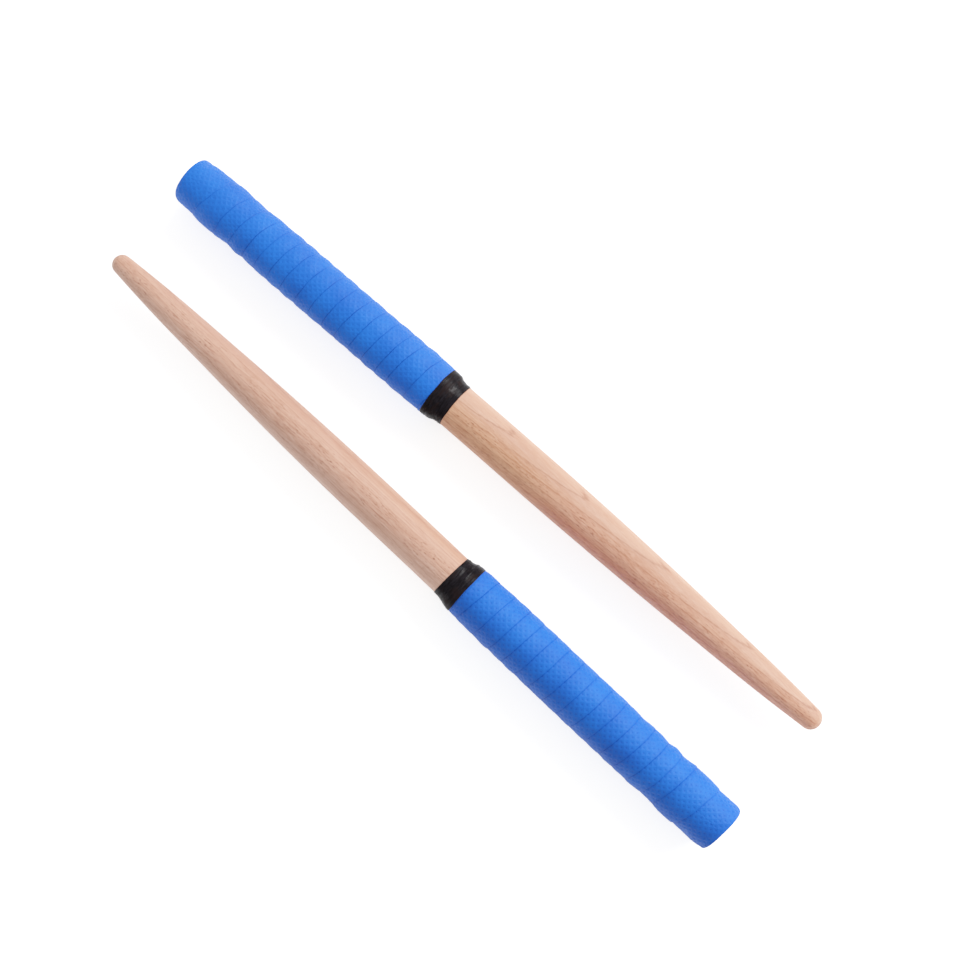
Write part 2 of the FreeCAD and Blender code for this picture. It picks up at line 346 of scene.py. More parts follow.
# ---- wound overgrip ------------------------------------------------------------
class Winding:
    """Path of the strip round the stick, and the layers it builds up."""

    def __init__(self, spec):
        self.layer, self.bold = spec["layer"], spec["bold"]
        self.grip_end = spec["tape_end"] + GRIP_MARGIN
        self.smooth_lap = monotone(spec["laps"])
        rng = np.random.default_rng(spec["seed"])
        self.wobbles = [(rng.uniform(2.3, 9.0), rng.uniform(0, TWO_PI), rng.uniform(0.4, 1.0))
                        for _ in range(7)]      # frequency, phase, size
        self.turns = np.arange(-1.0, 18.0, 0.004)
        self.edges = np.maximum.accumulate(self.lap(self.turns))
        tape_along, tape_r = zip(*spec["tape"])
        self.end = np.interp(END_R, tape_r[::-1], tape_along[::-1])
        self.end_turn = float(np.interp(self.end, self.edges, self.turns))

    def lap(self, turn):
        """Distance from the butt of the strip's exposed edge at a turn."""
        wobble = sum(size * np.sin(turn * frequency * TWO_PI + phase)
                     for frequency, phase, size in self.wobbles) * 0.045
        wobble = np.where(turn > -1, wobble * smoothstep(turn + 1), 0.0)
        return self.smooth_lap(turn) + wobble

    def edge_step(self, edge):
        """Height of the lapped edge that starts at edge: boldest 14 mm from the butt."""
        return EDGE_STEP + self.bold * np.exp(-((edge - 14) / 14) ** 2)

    def layers(self, turn, along):
        """Radius of the wood plus every layer of strip that covers this place."""
        def running_out(past):
            return smoothstep((past - STRIP_WIDTH + LAP_FALL / 2) / LAP_FALL)

        layer = self.layer
        radius = wood_radius(along, self.grip_end)
        step = self.edge_step(0.0)
        onto = (layer - step) * smoothstep(along / LAP_RAMP) + step * smoothstep(along / 2.0)
        for back in range(9):
            lap_turn = turn - back
            edge = self.lap(lap_turn)
            step = self.edge_step(edge)
            past = along - edge
            at_butt = (1 - smoothstep(edge / BUTT_FADE)) * (1 - smoothstep(past / 2.0))
            rise = step + (layer - step) * smoothstep(past / LAP_RAMP) - step * at_butt
            fall = layer * running_out(past)
            start = (layer + onto * smoothstep(lap_turn + 2)) * (1 - running_out(along))
            radius = radius + np.where(lap_turn >= -1, rise - fall,
                                       np.where(lap_turn >= -2, start, 0.0))
        return radius


def mean_fix(spec, winding):
    """Stations, and the change that gives the grip its measured mean radius at each."""
    stations = np.arange(0, 156, 0.25)
    along, part = np.meshgrid(stations, np.arange(48) / 48.0, indexing="ij")
    turn = part + np.floor(np.interp(along, winding.edges, winding.turns) - part)
    mean = blur(winding.layers(turn, along).mean(1), 15)
    return stations, np.interp(stations, *zip(*spec["skin"])) - mean


def strip_rows(winding):
    """Mesh rows of the strip: each runs from its own edge to the next turn's edge."""
    numbers, turns, alongs, lefts, rights = [], [], [], [], []
    for i in range(int(round((winding.end_turn + 2.0) * ROWS)) + 1):
        turn = -2.0 + i / ROWS
        left = 0.0 if turn <= -1 else float(winding.lap(np.array(turn)))
        right = float(winding.lap(np.array(turn + 1.0)))
        width = min(right, winding.end) - left
        if width < MIN_ROW:
            continue
        steps = max(1, 2 * int(round(width / STEP / 2)))
        if width > 1.6:
            inset = EDGE_INSETS[-1]
            body = np.linspace(inset, width - inset, steps)[1:-1]
            offsets = np.concatenate([EDGE_INSETS, body, width - END_INSETS])
        else:
            offsets = np.linspace(0, width, steps + 5)
        numbers.append(i)
        turns.append(turn)
        alongs.append(left + offsets)
        lefts.append(left)
        rights.append(right)
    count = np.array([len(along) for along in alongs])
    last = np.cumsum(count) - 1
    return SimpleNamespace(
        number=np.array(numbers), index={v: k for k, v in enumerate(numbers)},
        count=count, first=last - count + 1, last=last, right=rights,
        turn=np.repeat(turns, count), along=np.concatenate(alongs),
        edge=np.repeat(lefts, count), next_edge=np.repeat(rights, count))


def strip_surface(spec, winding, rows):
    """Along, phi and radius of every strip vertex, and the strip's attributes."""
    turn, along, edge, next_edge = rows.turn, rows.along, rows.edge, rows.next_edge
    phi = TWO_PI * turn
    past_edge, to_next = along - edge, next_edge - along
    radius = winding.layers(turn, along) + np.interp(along, *mean_fix(spec, winding))
    y, z = np.sin(phi) * radius, np.cos(phi) * radius

    # hand-wound unevenness in three sizes, calmer at the butt
    slow, middle = Wave(spec["seed"] + 3, 11), Wave(spec["seed"] + 4, 3.6)
    small = Wave(spec["seed"] + 5, 1.3, 36)
    calm = smoothstep(along / 4.0)
    radius = (radius + 0.05 * slow(along, y, z) * (0.4 + 0.6 * calm)
              + 0.028 * middle(along, y, z) * calm + 0.007 * small(along, y, z))

    # rounded exposed edge, and a crease before the next one
    lapped = (turn >= -1) * smoothstep(edge / BUTT_FADE)
    x = np.clip(1 - past_edge / 0.30, 0, 1)
    radius = radius - lapped * 0.11 * (1 - np.sqrt(np.maximum(0, 1 - x * x)))
    crease = smoothstep(next_edge / BUTT_FADE) * (next_edge < winding.end + 0.5)
    radius = radius - crease * spec["crease"] * np.exp(-(to_next / 0.28) ** 2)

    # the strip's own plane: strip_x runs along it, strip_y across it
    turns, pitch = winding.turns, HOLE_PITCH
    advance = (winding.lap(turns + 0.002) - winding.lap(turns - 0.002)) / 0.004
    lengths = np.hypot(ROUND_LEN, advance[:-1]) * np.diff(turns)
    wound = np.maximum(turn, -1.0)
    climb = np.interp(wound, turns, advance) * (turn > -1)
    turn_len = np.hypot(ROUND_LEN, climb)
    strip_x = (np.interp(wound, turns, np.concatenate([[0], np.cumsum(lengths)]))
               + (turn < -1) * (turn + 1) * ROUND_LEN + past_edge * (climb / turn_len))
    strip_x = strip_x + 0.10 * middle(along * 0.6, y * 0.6, z * 0.6)
    strip_y = past_edge * (ROUND_LEN / turn_len) - 1.5

    # perforations on a centred lattice, and the embossed diagonal net between them
    hole = pitch * np.minimum(
        np.hypot(off_grid(strip_x / pitch), off_grid(strip_y / pitch)),
        np.hypot(off_grid(strip_x / pitch - 0.5), off_grid(strip_y / pitch - 0.5)))
    live = smoothstep((past_edge - 0.45) / 0.3) * smoothstep((along - 0.8) / 0.6)
    dent = live * (1 - smoothstep((hole - 0.20) / 0.30))
    net = np.maximum(*[np.exp(-(off_grid(diagonal / pitch + 0.5) * pitch / 1.414 / 0.26) ** 2)
                       for diagonal in (strip_x + strip_y, strip_x - strip_y)])
    radius = radius - spec["dent"] * (dent - 0.30 * live * net)

    # squeezed under the finishing tape
    under = np.interp(along, *zip(*spec["tape"])) - 0.24
    radius = np.where(along > spec["wrap_end"] - 0.6, np.minimum(radius, under), radius)
    # each row's last vertex runs a little under the lapped edge
    tuck = np.zeros(len(along))
    tuck[rows.last] = 1.0
    along_out = along + TUCK * tuck * crease * (to_next < 0.02)
    # bulge of the butt rim
    bulge_phi, pull, fat = spec["rim"]
    lean = np.maximum(0, np.cos(phi - bulge_phi)) ** 2
    along_out = along_out + pull * lean * (1 - smoothstep(along / 5.0))
    radius = radius + fat * lean * (1 - smoothstep((along - 1.0) / 4.0))

    attributes = {"lit": np.sin(phi) * spec["lit_side"],
                  "strip": np.stack([strip_x, strip_y, hole], -1),
                  "laps": np.stack([past_edge, to_next, along], -1),
                  "dent": dent, "face": np.zeros(len(along))}
    return along_out, phi, radius, attributes


def strip_faces(winding, rows):
    """Quads and triangles between the rows, and the walls of the lapped edges."""
    first, last, count, number = rows.first, rows.last, rows.count, rows.number
    along, edge, index = rows.along, rows.edge, rows.index
    quads, tris = [], []
    for k in range(len(number) - 1):
        if number[k + 1] != number[k] + 1:
            continue
        if count[k] == count[k + 1]:
            run = first[k] + np.arange(count[k] - 1)
            other = first[k + 1] + np.arange(count[k] - 1)
            quads.append(np.stack([run, run + 1, other + 1, other], -1))
        else:
            pair = []
            for row in (k, k + 1):
                run = np.arange(first[row], first[row] + count[row])
                start, end = edge[run][0], along[run][-1]
                pair += [run, (along[run] - edge[run]) / (end - start)]
            tris += zip_strip(*pair)
    for k, i in enumerate(number[:-1]):
        if not all(i + ahead in index for ahead in (1, ROWS, 1 + ROWS)):
            continue
        if rows.right[k] < winding.end and rows.right[k + 1] < winding.end:
            beside, over, over_beside = index[i + 1], index[i + ROWS], index[i + 1 + ROWS]
            quads.append(np.array([[last[k], first[over], first[over_beside], last[beside]]]))
    return quads, tris


def make_overgrip(name, spec):
    axes = stick_axes(name)
    winding = Winding(spec)
    rows = strip_rows(winding)
    along, phi, radius, attributes = strip_surface(spec, winding, rows)
    quads, tris = strip_faces(winding, rows)
    points = [place(axes, along, phi, radius)]
    first, last, count, number = rows.first, rows.last, rows.count, rows.number

    # rings of the butt face and the bore: along, radius, value of "face"
    closing = rows.index[number[0] + ROWS]
    ring_phi = np.arange(ROWS) * TWO_PI / ROWS
    face_r = radius[first[:closing]].mean() - BUTT_CHAMFER
    ring_specs = [
        (0.02 + 0.05 * np.sin(ring_phi * 3 + 1), face_r + 0.03 * np.sin(ring_phi * 2), 1.0),
        (0.16, (face_r + BORE_R) / 2 + 0.02, 1.0),
        (0.25, BORE_R, 0.5), (11.0, BORE_R, 0.5),
        (12.0, WOOD_R + 0.04, 0.5), (winding.end - 0.05, WOOD_R + 0.04, 0.5)]
    rings = [len(radius) + k * ROWS + np.arange(ROWS) for k in range(len(ring_specs))]
    for ring_along, ring_radius, shade in ring_specs:
        points.append(place(axes, ring_along, ring_phi, ring_radius))
        plain = {"lit": 0.0, "strip": [1.0] * 3, "laps": [3.0, 3.0, 5.0], "dent": 0.0,
                 "face": shade}
        for key, value in plain.items():
            filler = np.full((ROWS,) + np.shape(value), value)
            attributes[key] = np.concatenate([attributes[key], filler])

    def ring_run(ring, start):
        """A full ring of vertices from row number start, and their turns."""
        return ([ring[(start + m) % ROWS] for m in range(ROWS + 1)],
                [start / ROWS + m / ROWS for m in range(ROWS + 1)])

    # butt: left ends of the first turn, then back along the sliver that starts it
    loop = list(first[:closing + 1]) + [last[0] - m for m in range(count[0])]
    turns = list(number[:closing + 1] / ROWS) + [number[closing] / ROWS] * count[0]
    butt_tris = zip_strip(loop, turns, *ring_run(rings[0], number[0]))
    tris += [tri[::-1] for tri in butt_tris]
    quads += [bridge(b, a) for a, b in zip(rings, rings[1:])]
    # far end, hidden under the finishing tape
    opening = rows.index[number[-1] - ROWS]
    loop = list(last[opening:]) + [last[-1] - m for m in range(count[-1])] + [last[opening]]
    turns = list(number[opening:] / ROWS) + [number[-1] / ROWS] * (count[-1] + 1)
    tris += zip_strip(loop, turns, *ring_run(rings[-1], number[opening]))

    return build(name + "_wound_overgrip", np.vstack(points), np.vstack(quads),
                 np.array(tris), attributes)


# ---- finishing tape --------------------------------------------------------------
def make_tape(name, spec):
    axes = stick_axes(name)
    around, across, seed = TAPE_AROUND, TAPE_ALONG, spec["seed"]
    phi = np.arange(around) * TWO_PI / around
    turn_phi = phi[:, None]

    def round_wave(number, length):
        """Noise that varies only round the stick."""
        return Wave(seed + number, length)(0 * phi, 10.5 * np.sin(phi), 10.5 * np.cos(phi))

    start = (spec["wrap_end"] - 0.15 + 0.06 * round_wave(7, 9))[:, None]
    end = (spec["tape_end"] - 0.02 + 0.03 * round_wave(8, 7)
           + spec["tape_tilt"] * np.sin(phi))[:, None]
    along = start + (end - start) * np.linspace(0, 1, across)[None, :]
    tape_along, tape_r = zip(*spec["tape"])
    shift = 0.30 * round_wave(9, 14)[:, None]
    shift = shift * smoothstep((along - start) / 2) * smoothstep((end - along) / 2)
    base = np.interp(along - shift, tape_along, tape_r)
    base = np.apply_along_axis(blur, 1, base, 9)
    y, z = base * np.sin(turn_phi), base * np.cos(turn_phi)

    # stretch wrinkles run round the stick; the step down gathers small pleats
    fine = Wave(seed + 10, 1.5, 40, stretch=(0.75, 4.5, 4.5))
    broad = Wave(seed + 11, 3.4, 30, stretch=(0.8, 3.0, 3.0))
    pleat = Wave(seed + 12, 2.6, 36, stretch=(2.4, 0.8, 0.8))
    middle = spec["wrap_end"] + 0.5 * (spec["tape_end"] - spec["wrap_end"])
    drop = np.exp(-((along - middle - 0.6) / 1.9) ** 2)
    relief = (0.040 * fine(along, y, z) + 0.060 * broad(along, y, z) * (0.45 + 0.8 * drop)
              + 0.035 * pleat(along, y, z) * drop)
    # upper turn's edges, laid a little askew over the first turn, and part of a third
    upper_start = start + 0.75 + 0.25 * np.sin(turn_phi + 1.1)
    upper_end = end - 0.85 - 0.22 * np.sin(turn_phi + 2.0)
    upper = smoothstep((along - upper_start) / 0.14) * smoothstep((upper_end - along) / 0.14)
    flap = (turn_phi - spec["flap"] - 0.05 * (along - middle)) % TWO_PI
    third = smoothstep(flap / 0.012) * smoothstep((2.6 - flap) / 0.012)
    relief = relief + 0.085 * upper + 0.06 * upper * third
    # ridge and hollow on the lit half
    side = np.sin(phi) * spec["lit_side"]
    lit = np.maximum(0, side)[:, None] ** 2
    ridge = along - (middle - spec["shoulder"])
    relief = (relief + 0.13 * lit * np.exp(-(ridge / 0.45) ** 2)
              - 0.06 * lit * np.exp(-((ridge - 1.2) / 0.6) ** 2))
    inset = np.minimum(along - start, end - along)
    relief = relief * smoothstep(inset / 0.5 + 0.1)
    outer_r = base + relief - 0.045 * (1 - smoothstep(inset / 0.10))
    measured = np.interp(along, tape_along, tape_r)
    outer_r = np.maximum(np.maximum(outer_r, measured - 0.13), WOOD_R + 0.10)
    inner_r = np.minimum(np.maximum(measured - 0.155, WOOD_R + 0.035), outer_r - 0.05)

    points = np.vstack([place(axes, along, turn_phi, outer_r),
                        place(axes, along, turn_phi, inner_r)])
    grid = np.arange(around * across).reshape(around, across)
    beside = np.roll(grid, -1, axis=0)
    outside = np.stack([grid[:, :-1], grid[:, 1:], beside[:, 1:], beside[:, :-1]], -1)
    outside = outside.reshape(-1, 4)
    inside = (outside + grid.size)[:, ::-1]
    start_cap = bridge(grid[:, 0], grid[:, 0] + grid.size)
    # rolled so that each quad starts on the outer ring
    end_cap = np.roll(bridge(grid[:, -1] + grid.size, grid[:, -1]), 1, axis=1)
    band = np.stack([along - start, turn_phi * 10.8 + 0 * along, inset], -1).reshape(-1, 3)
    position = np.stack([along, y, z], -1).reshape(-1, 3)
    return build(name + "_vinyl_band", points,
                 np.vstack([outside, inside, start_cap, end_cap]), [],
                 {"lit": np.tile(np.repeat(side, across), 2),
                  "band": np.vstack([band] * 2), "band_pos": np.vstack([position] * 2)})


# ---- shader tools ----------------------------------------------------------------
class Value:
    """An output socket that can be calculated with; each step adds a node."""

    def __init__(self, shader, socket):
        self.shader = shader
        self.socket = socket

    def __add__(self, other):
        return self.shader.math("ADD", self, other)

    def __sub__(self, other):
        return self.shader.math("SUBTRACT", self, other)

    def __mul__(self, other):
        return self.shader.math("MULTIPLY", self, other)

    def __truediv__(self, other):
        return self.shader.math("DIVIDE", self, other)

    def __pow__(self, other):
        return self.shader.math("POWER", self, other)

    def __abs__(self):
        return self.shader.math("ABSOLUTE", self)

    def maximum(self, other):
        return self.shader.math("MAXIMUM", self, other)

    def inverted(self):
        return self.shader.math("SUBTRACT", 1.0, self, clamp=True)

    def vector(self, operation, other):
        return self.shader.node("ShaderNodeVectorMath", {0: self, 1: other},
                                operation=operation)

    def tint(self, factors):
        return self.vector("MULTIPLY", factors)

    def parts(self):
        split = self.shader.node("ShaderNodeSeparateXYZ", {0: self})
        return [Value(self.shader, socket) for socket in split.socket.node.outputs]

    def remap(self, span, to=(0.0, 1.0), smooth=False):
        """Map span onto to, clamped."""
        return self.shader.node(
            "ShaderNodeMapRange", {0: self, 1: span[0], 2: span[1], 3: to[0], 4: to[1]},
            clamp=True, interpolation_type="SMOOTHSTEP" if smooth else "LINEAR")

    def mix(self, amount, other):
        return self.shader.mix(amount, self, other)


class Shader:
    """A material with one Principled surface."""

    def __init__(self, name):
        self.material = bpy.data.materials.new(name)
        self.material.use_nodes = True
        self.tree = self.material.node_tree
        self.tree.nodes.clear()
        output = self.tree.nodes.new("ShaderNodeOutputMaterial")
        self.bsdf = self.tree.nodes.new("ShaderNodeBsdfPrincipled")
        self.tree.links.new(self.bsdf.outputs["BSDF"], output.inputs["Surface"])

    def put(self, socket, value):
        if isinstance(value, Value):
            self.tree.links.new(value.socket, socket)
        else:
            socket.default_value = value

    def node(self, kind, inputs, output=0, **settings):
        node = self.tree.nodes.new(kind)
        for key, value in settings.items():
            setattr(node, key, value)
        for key, value in inputs.items():
            self.put(node.inputs[key], value)
        return Value(self, node.outputs[output])

    def attribute(self, name, output="Vector"):
        return self.node("ShaderNodeAttribute", {}, output, attribute_name=name)

    def object_position(self):
        return self.node("ShaderNodeTexCoord", {}, "Object")

    def math(self, operation, *values, clamp=False):
        return self.node("ShaderNodeMath", dict(enumerate(values)),
                         operation=operation, use_clamp=clamp)

    def stretch(self, position, along, across):
        """Position scaled by one factor along the stick and another across it."""
        x, y, z = position
        return self.combine(x * along, y * across, z * across)

    def combine(self, x, y, z):
        return self.node("ShaderNodeCombineXYZ", {0: x, 1: y, 2: z})

    def noise(self, vector, scale=1.0, detail=3.0, rough=0.55, output="Fac"):
        return self.node("ShaderNodeTexNoise", {"Vector": vector, "Scale": scale,
                                                "Detail": detail, "Roughness": rough}, output)

    def cells(self, vector, scale=1.0):
        """Distance to the nearest of a scatter of points."""
        return self.node("ShaderNodeTexVoronoi", {"Vector": vector, "Scale": scale},
                         "Distance")

    def grey_ramp(self, value, stops):
        ramp = self.node("ShaderNodeValToRGB", {0: value})
        elements = ramp.socket.node.color_ramp.elements
        while len(elements) > 1:
            elements.remove(elements[-1])
        elements[0].position = stops[0][0]
        for position, _ in stops[1:]:
            elements.new(position)
        for element, (_, grey) in zip(elements, stops):
            element.color = (grey, grey, grey, 1)
        return ramp

    def mix(self, amount, a, b):
        return self.node("ShaderNodeMix", {0: amount, 6: a, 7: b}, 2, data_type="RGBA")

    def bump(self, height, distance, strength):
        return self.node("ShaderNodeBump", {"Strength": strength, "Distance": distance,
                                            "Height": height})

    def finish(self, **inputs):
        """Set the surface's inputs, spaces written as underscores."""
        for key, value in inputs.items():
            self.put(self.bsdf.inputs[key.replace("_", " ")], value)
        return self.material


def rgb(red, green, blue, gain=(1.0, 1.0, 1.0)):
    """Linear colour from 8-bit display values, with a gain per channel."""
    def linear(value):
        if value <= 10.3:
            return value / 255 / 12.92
        return ((value / 255 + 0.055) / 1.055) ** 2.4
    channels = zip((red, green, blue), gain)
    return tuple(linear(value) * factor for value, factor in channels) + (1.0,)


# ---- materials -------------------------------------------------------------------
# darkness of the wood across one growth ring: it deepens, then stops sharply
LATE_WOOD = [(0.0, 0.25), (0.07, 0.02), (0.45, 0.08), (0.78, 0.42), (0.92, 0.60), (1.0, 0.40)]


def beech(name, light, dark, line, fleck_colour, pale, *, angle, bend, tilt, sweep, spacing,
          wander, start, late, seam, fade, fleck_y, side, tints):
    """Turned beech: growth rings cut by the turning, ray flecks, fine fibres.

    angle, bend and tilt shape the rings, sweep adds (start, slope) bends along the stick;
    spacing, start and wander place them; late and seam are strengths, fade limits them
    across; fleck_y centres the flecks. side picks the shade half, onto which tints paint
    fill light: near the grip, near the tip, and on the rim of that half.
    """
    shader = Shader(name)
    position = shader.attribute("wood_pos")
    place_in = along, y, z = position.parts()

    def grain(along, across, **settings):
        return shader.noise(shader.stretch(place_in, along, across), **settings)

    # distance through the growth rings
    drift = (grain(0.012, 0.05, detail=2.0) - 0.5) * wander
    ring = y * math.sin(angle) + z * math.cos(angle)
    cross = y * math.cos(angle) - z * math.sin(angle)
    ring = ring - cross ** 2.0 * bend + along * tilt
    for sweep_start, slope in sweep:
        ring = ring + (along - sweep_start).maximum(0.0) * slope
    ragged = grain(0.30, 1.3)
    ring = ring + drift + (ragged - 0.5) * 0.55
    phase = shader.math("FRACT", (ring + (400.0 + start)) / spacing)    # kept positive
    late_wood = shader.grey_ramp(phase, LATE_WOOD).parts()[0]
    seam_line = phase.remap((0.86, 0.955), smooth=True) * phase.remap((1.0, 0.965))
    within = cross.remap(fade, to=(1.0, 0.12), smooth=True)

    # fibres follow the growth rings' slant
    lean_z = z + along * (tilt * 1.1)
    lean_y = y + along * (-tilt * 0.5)
    slanted = (along, lean_y, lean_z)
    fibre = shader.noise(shader.stretch(slanted, 0.085, 1.5), detail=4.0, rough=0.65)
    thread = shader.noise(shader.stretch(slanted, 0.16, 2.6), rough=0.6)
    zone = abs(y + fleck_y).remap((8.5, 2.5), to=(0.18, 1.0), smooth=True)

    base = shader.mix(grain(0.018, 0.16).remap((0.3, 0.72)), light, dark)
    base = base.mix(late_wood * within * late, line)
    base = base.mix(seam_line * within * ragged.remap((0.30, 0.55), to=(0.35, 1.0)) * seam,
                    fleck_colour)
    base = base.mix(fibre.remap((0.44, 0.68), to=(0.0, 0.55))
                    * zone.remap((0.0, 1.0), to=(0.55, 1.0)), line)
    base = base.mix(thread.remap((0.54, 0.68), to=(0.0, 0.50)) * zone, fleck_colour)
    base = base.mix(thread.remap((0.45, 0.32), to=(0.0, 0.50))
                    * zone.remap((0.0, 1.0), to=(0.4, 1.0)), pale)
    # ray flecks: short dark dashes along the grain, in two sizes
    warp = shader.noise(position, scale=0.6, detail=2.0, output="Color")
    warped = shader.stretch(place_in, 0.42, 1.5).vector("ADD", warp.tint((0.25, 0.5, 0.5)))
    patches = grain(0.07, 0.35, detail=2.0).remap((0.40, 0.62))
    fleck = shader.cells(warped).remap((0.30, 0.16)) * patches
    small_cells = shader.cells(shader.stretch(place_in, 0.80, 2.6))
    small_fleck = small_cells.remap((0.30, 0.14))
    base = base.mix(fleck * zone * 0.85, fleck_colour)
    base = base.mix(small_fleck * zone * 0.40, fleck_colour)
    # pale rays between them
    shine = grain(0.22, 1.1, scale=1.3, detail=2.0)
    base = base.mix(shine.remap((0.56, 0.74), to=(0.0, 0.35)), pale)
    # painted fill light: the shade half is lightened and retinted near the grip and near the
    # tip, and tinted again on its rim towards the tip
    fill_tint_near_grip, fill_tint_near_tip, fill_tint_shade_rim = tints
    half = (y * side).remap((-5.5, 4.5), smooth=True)
    to_tip = along.remap((180.0, 225.0), smooth=True)
    base = base.mix(half, base.tint(fill_tint_near_grip).mix(to_tip, base.tint(fill_tint_near_tip)))
    rim = to_tip * (y * side).remap((2.5, 7.5), smooth=True)
    base = base.mix(rim, base.tint(fill_tint_shade_rim))
    # end grain shows at the butt face
    end_grain = along.remap((0.25, 0.9), to=(1.0, 0.0))
    pores = shader.cells(shader.combine(along * 0.2, y, z), scale=6.5)
    base = base.mix(end_grain * 0.45, shader.mix(pores.remap((0.1, 0.5)), line, dark))
    height = fibre * 0.5 - (fleck * 0.7 + small_fleck * 0.35)
    return shader.finish(
        Base_Color=base, Roughness=fibre.remap((0.3, 0.7), to=(0.50, 0.62)),
        Specular_IOR_Level=0.36, Normal=shader.bump(height, distance=0.00006, strength=0.75))


def overgrip(name, bright, shade, hole_shade, soft_seam, seam):
    """Soft perforated polyurethane strip.

    bright and shade paint light and shade onto the lit and unlit halves; dots paints
    shade into the perforations, soft_seam and seam the broad and narrow shade at the laps.
    """
    gain = (0.13, 0.380, 0.56)
    blue, deep = rgb(66, 134, 236, gain), rgb(22, 70, 170, gain)
    shader = Shader(name)
    strip_x, strip_y, hole = shader.attribute("strip").parts()
    past_edge, to_next, along = shader.attribute("laps").parts()
    side = shader.attribute("lit", "Fac")
    foam = shader.attribute("face", "Fac")
    position = shader.object_position()
    cloud = shader.noise(position, scale=55.0)
    grain = shader.noise(position, scale=2600.0, rough=0.6)
    leather = shader.cells(position, scale=2100.0)
    base = shader.mix(cloud.remap((0.30, 0.72)), blue, shader.mix(0.35, blue, deep))
    base = base.mix(grain.remap((0.35, 0.75), to=(0.0, 0.16)), deep)
    # painted shade inside the perforations
    dark = hole.remap((0.46, 0.22), smooth=True) * past_edge.remap((0.35, 0.8))
    base = base.mix(dark * hole_shade, deep)
    # painted shade gathers, unevenly, where one turn tucks under the next, fainter towards
    # the lit half; a broad painted shade lies on both sides of each lap
    tuck = to_next.remap((0.34, 0.05)).maximum(past_edge.remap((0.05, 0.0), to=(0.0, 0.7)))
    patches = shader.noise(position, scale=170.0, detail=2.0)
    broken = (patches.remap((0.38, 0.56), to=(0.20, 1.0))
              * along.remap((14.0, 42.0), to=(0.35, 1.0))
              * side.remap((0.92, 0.45), to=(0.30, 1.0)))
    soft = to_next.remap((1.9, 0.1), smooth=True).maximum(
        past_edge.remap((1.3, 0.1), to=(0.0, 0.7), smooth=True))
    base = base.mix(soft * along.remap((6.0, 20.0)) * soft_seam, deep)
    base = base.mix(tuck * (broken * seam), (0.0, deep[1] * 0.55, deep[2] * 0.55, 1))
    # painted light and shade: the lit half is tinted by bright, the unlit half by shade
    base = base.mix(side.remap((0.15, 0.85), smooth=True), base.tint(bright))
    base = base.mix(side.remap((0.25, -0.60), smooth=True), base.tint(shade))
    # the cut ends show the foam
    base = base.mix(foam * 0.5, (deep[0] * 1.2, deep[1] * 1.15, deep[2] * 1.05, 1))

    def net_lines(diagonal):
        ripple = shader.math("PINGPONG", diagonal / HOLE_PITCH + 0.5, 0.5)
        return ripple.remap((0.17, 0.02), smooth=True)

    net = net_lines(strip_x + strip_y).maximum(net_lines(strip_x - strip_y))
    height = net * foam.inverted() * 0.5 + (grain * 0.30 + leather * 0.30)
    return shader.finish(
        Base_Color=base, Roughness=grain.remap((0.3, 0.75), to=(0.50, 0.66)),
        Specular_IOR_Level=tuck.inverted() * 0.15,
        Sheen_Weight=0.01, Sheen_Roughness=0.5, Sheen_Tint=(0.55, 0.72, 1.0, 1.0),
        Normal=shader.bump(height, distance=0.00006, strength=0.8))


def vinyl(name, glints):
    """Glossy black stretch tape; glints are (centre, half width) along the band."""
    shader = Shader(name)
    from_start, _, inset = shader.attribute("band").parts()
    place_in = shader.attribute("band_pos").parts()
    streak = shader.noise(shader.stretch(place_in, 2.6, 0.35), detail=4.0, rough=0.6)
    patch = shader.noise(shader.stretch(place_in, 0.5, 0.22), detail=2.0)
    brown = rgb(28, 20, 19)
    base = shader.mix(streak.remap((0.35, 0.75)), rgb(12, 10, 11), rgb(27, 25, 29))
    base = base.mix(patch.remap((0.50, 0.68), to=(0.0, 0.6)), brown)
    base = base.mix(inset.remap((0.45, 0.05), to=(0.0, 0.5)), brown)
    rough = (streak.remap((0.3, 0.7), to=(0.17, 0.30))
             + patch.remap((0.35, 0.7), to=(0.0, 0.12)))
    # gloss is strongest in broken glints on the lit half
    side = shader.attribute("lit", "Fac")
    facing = (side.remap((-0.15, 0.15), smooth=True)
              * side.remap((0.72, 0.48), smooth=True))
    flash = 0.0
    for centre, half in glints:
        glint = abs(from_start - centre).remap((half * 1.3, half * 0.7))
        flash = shader.math("MAXIMUM", flash, glint)
    broken = shader.noise(shader.stretch(place_in, 3.2, 0.5), detail=2.0)
    facing = facing * (flash.remap((0.0, 1.0), to=(0.22, 1.0))
                       * broken.remap((0.40, 0.56), to=(0.35, 1.0)))
    gloss = (facing * 0.24 + 0.030) * patch.remap((0.40, 0.60), to=(1.0, 0.4))
    fine = shader.noise(shader.stretch(place_in, 5.0, 0.8))
    return shader.finish(
        Base_Color=base, Roughness=rough, Specular_IOR_Level=gloss,
        Normal=shader.bump(streak * 0.6 + fine * 0.4, distance=0.00007, strength=0.8))


def adhesive(name):
    """Yellowed paper-like double-sided tab."""
    shader = Shader(name)
    position = shader.object_position()
    fibre = shader.noise(position, scale=900.0, detail=4.0, rough=0.65)
    cloud = shader.noise(position, scale=120.0, detail=2.0)
    base = shader.mix(fibre.remap((0.35, 0.7)), rgb(226, 216, 190), rgb(204, 190, 156))
    base = base.mix(cloud.remap((0.4, 0.7), to=(0.0, 0.4)), rgb(214, 196, 150))
    return shader.finish(Base_Color=base, Roughness=fibre.remap((0.3, 0.7), to=(0.35, 0.6)),
                         Normal=shader.bump(fibre, distance=0.00004, strength=0.7))


